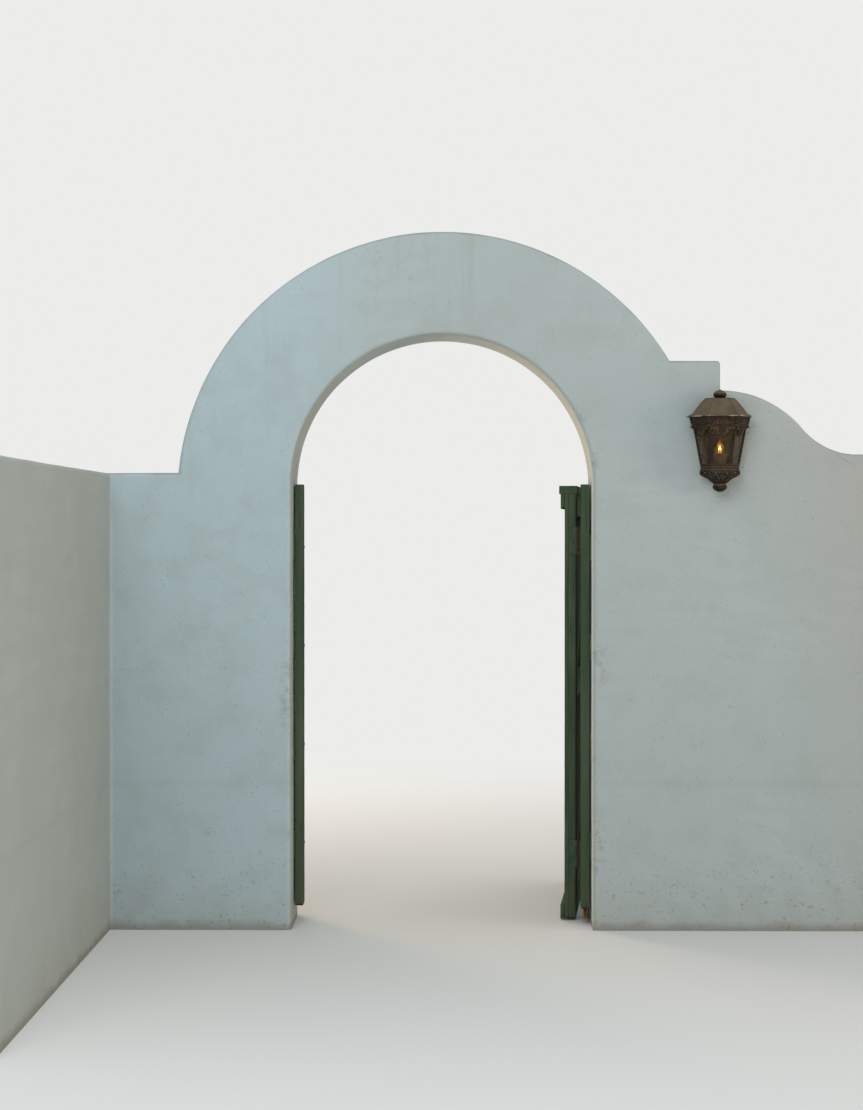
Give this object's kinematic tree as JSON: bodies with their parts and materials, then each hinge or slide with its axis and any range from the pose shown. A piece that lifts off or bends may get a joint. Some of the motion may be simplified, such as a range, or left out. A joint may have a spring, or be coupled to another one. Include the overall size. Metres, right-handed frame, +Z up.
{
  "type": "arched garden gateway",
  "caption": "Rendered masonry garden wall with a round-headed gateway under a humped top, a swept shoulder, a boarded timber gate leaf standing open and a hexagonal wall lantern.",
  "frame": {"origin": "centre of the foot of the hinge-side pier, on the ground", "axes": "+X along the wall from the latch side to the hinge side, +Y through the gateway into the garden, +Z up"},
  "size_m": [4.6396, 3.8258, 2.8419],
  "materials": {
    "plaster": "matt, sand-finished lime-white cement plaster",
    "green_paint": "eggshell dark green paint on sawn timber, worn at the ends",
    "hinge_metal": "brown weathered steel with old paint",
    "bronze": "aged dark bronze, satin",
    "seeded_glass": "amber seeded glass",
    "candle_cup": "matt ivory candle cup",
    "bulb": "clear flame-shaped bulb, lit"
  },
  "bodies": {
    "wall": {"return_wall": "plaster", "wall_corner": "plaster", "left_wall": "plaster", "latch_pier": "plaster", "left_haunch": "plaster", "crown": "plaster", "right_haunch": "plaster", "hinge_pier": "plaster", "shoulder": "plaster", "right_wall": "plaster", "latch_post": "green_paint", "hinge_post": "green_paint", "latch_post_packers": "green_paint", "hinge_post_packers": "green_paint", "upper_hinge_post_plate": "hinge_metal", "upper_hinge_pin": "hinge_metal", "lower_hinge_post_plate": "hinge_metal", "lower_hinge_pin": "hinge_metal", "lantern_backplate": "bronze", "lantern_cage": "bronze", "lantern_glass": "seeded_glass", "lantern_gallery": "bronze", "lantern_roof": "bronze", "lantern_knob": "bronze", "lantern_ring": "bronze", "lantern_skirt": "bronze", "lantern_finial": "bronze", "lantern_cup": "candle_cup", "lantern_bulb": "bulb"},
    "gate_leaf": {"hinge_stile": "green_paint", "latch_stile": "green_paint", "top_rail": "green_paint", "middle_rail": "green_paint", "bottom_rail": "green_paint", "upper_brace": "green_paint", "lower_brace": "green_paint", "boards": "green_paint", "gate_cap": "green_paint", "top_trim": "green_paint", "bottom_trim": "green_paint", "upper_hinge_gate_plate": "hinge_metal", "lower_hinge_gate_plate": "hinge_metal"}
  },
  "joints": [
    {"name": "gate_hinge", "type": "hinge", "parent": "wall", "child": "gate_leaf", "pos_m": [-0.305, 0.0505, 0.9], "axis": [0, 0, 1], "range_deg": [-8, 95]}
  ]
}
